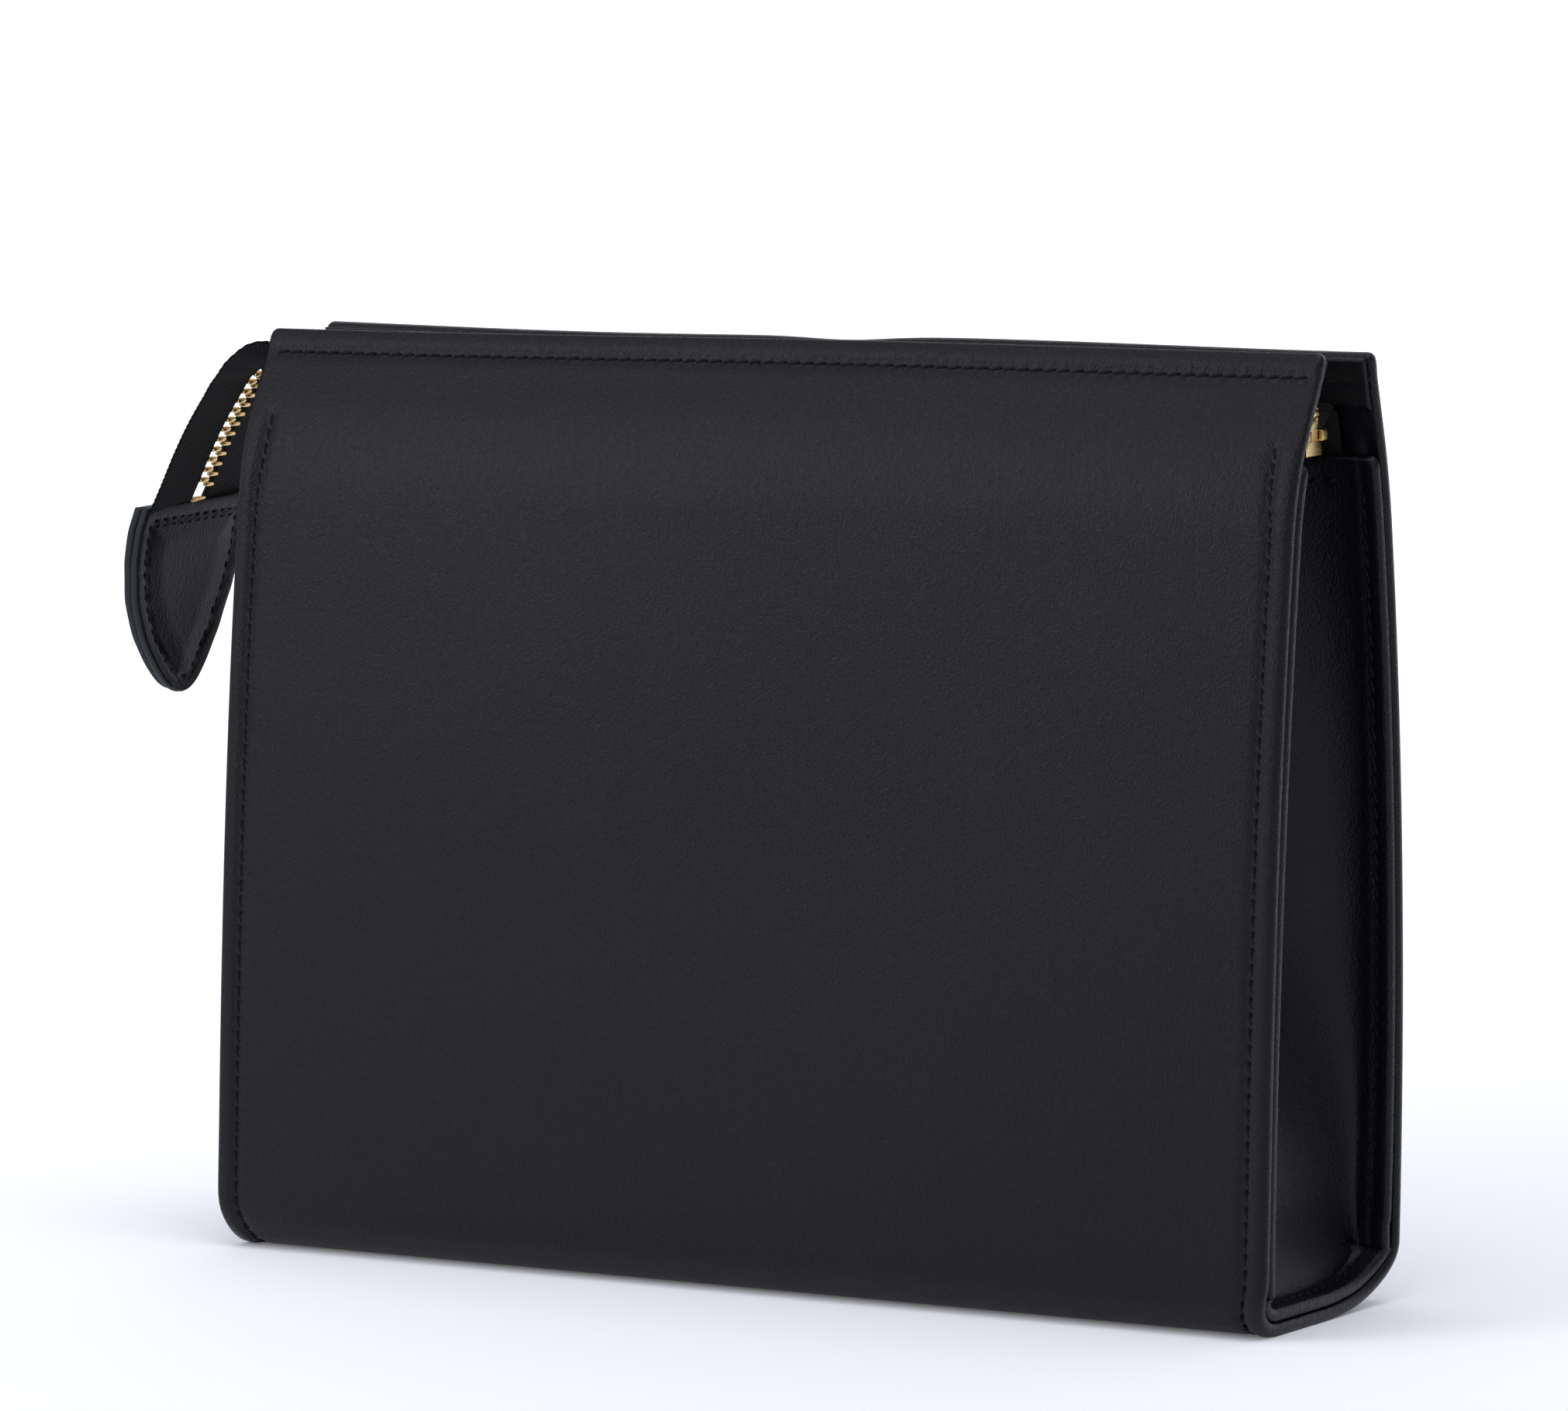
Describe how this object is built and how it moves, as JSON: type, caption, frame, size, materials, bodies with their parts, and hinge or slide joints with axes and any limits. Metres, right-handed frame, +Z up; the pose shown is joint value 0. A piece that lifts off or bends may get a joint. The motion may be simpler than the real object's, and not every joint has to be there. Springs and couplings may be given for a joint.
{
  "type": "zipped makeup bag",
  "caption": "Flat-top black leather makeup bag with folded end gussets, a sunk metal zip and a leather-tipped zip tail.",
  "frame": {"origin": "centre of the base, on the plane that the bag stands on", "axes": "+X to the right along the bag's width, seen from the front; +Y from the front wall to the back wall; +Z up"},
  "size_m": [0.2929, 0.061, 0.2],
  "materials": {
    "leather": "fine-grained black leather with a soft sheen",
    "tab_leather": "fine-grained black leather, cut edges dark grey",
    "lining": "black plain-woven lining",
    "board": "flexible stiffener sheet, hidden",
    "zip_tape": "black ribbed woven zip tape",
    "zip_metal": "bright gold-coloured metal",
    "slider_metal": "polished gold-coloured metal",
    "thread": "black bonded thread"
  },
  "bodies": {
    "base": {"base_panel": "leather", "base_stiffener": "board", "base_lining": "lining", "left_gusset": "leather", "right_gusset": "leather", "left_gusset_lining": "lining", "right_gusset_lining": "lining", "left_base_stitching": "thread", "right_base_stitching": "thread"},
    "front_wall": {"front_panel": "leather", "front_stiffener": "board", "front_lining": "lining", "front_rim_facing": "leather", "front_zip_tape": "zip_tape", "front_teeth": "zip_metal", "front_top_stop": "zip_metal", "front_rim_stitching": "thread", "front_left_seam_stitching": "thread", "front_right_seam_stitching": "thread"},
    "back_wall": {"back_panel": "leather", "back_stiffener": "board", "back_lining": "lining", "back_rim_facing": "leather", "back_zip_tape": "zip_tape", "back_teeth": "zip_metal", "back_top_stop": "zip_metal", "back_rim_stitching": "thread", "back_left_seam_stitching": "thread", "back_right_seam_stitching": "thread"},
    "slider": {"slider_body": "slider_metal", "slider_bridge": "slider_metal"},
    "pull": {"pull_tab": "slider_metal", "pull_pin": "slider_metal"},
    "tail": {"front_tail_tape": "zip_tape", "back_tail_tape": "zip_tape", "front_tail_teeth": "zip_metal", "back_tail_teeth": "zip_metal", "bottom_stop": "zip_metal", "tab_outer_leather": "tab_leather", "tab_inner_leather": "tab_leather", "tab_stitching": "thread"}
  },
  "joints": [
    {"name": "slider_travel", "type": "slide", "parent": "base", "child": "slider", "axis": [-1, 0, 0], "range_m": [0, 0.236], "deforming": ["front_teeth", "back_teeth"]},
    {"name": "front_wall_open", "type": "hinge", "parent": "base", "child": "front_wall", "pos_m": [0, -0.0292, 0.012], "axis": [1, 0, 0], "range_deg": [0, 4]},
    {"name": "back_wall_open", "type": "hinge", "parent": "base", "child": "back_wall", "pos_m": [0, 0.0292, 0.012], "axis": [-1, 0, 0], "range_deg": [0, 3]},
    {"name": "pull_swing", "type": "hinge", "parent": "slider", "child": "pull", "pos_m": [0.1228, 0.0085, 0.1872], "axis": [0, -1, 0], "range_deg": [0, 95]},
    {"name": "tail_swing", "type": "hinge", "parent": "base", "child": "tail", "pos_m": [-0.131, 0.0085, 0.19], "axis": [0, 1, 0], "range_deg": [0, 45]}
  ],
  "couplings": [
    {"joint": "front_wall_open", "follows": "slider_travel", "rad_per_m": 0.29582},
    {"joint": "back_wall_open", "follows": "slider_travel", "rad_per_m": 0.22186}
  ]
}
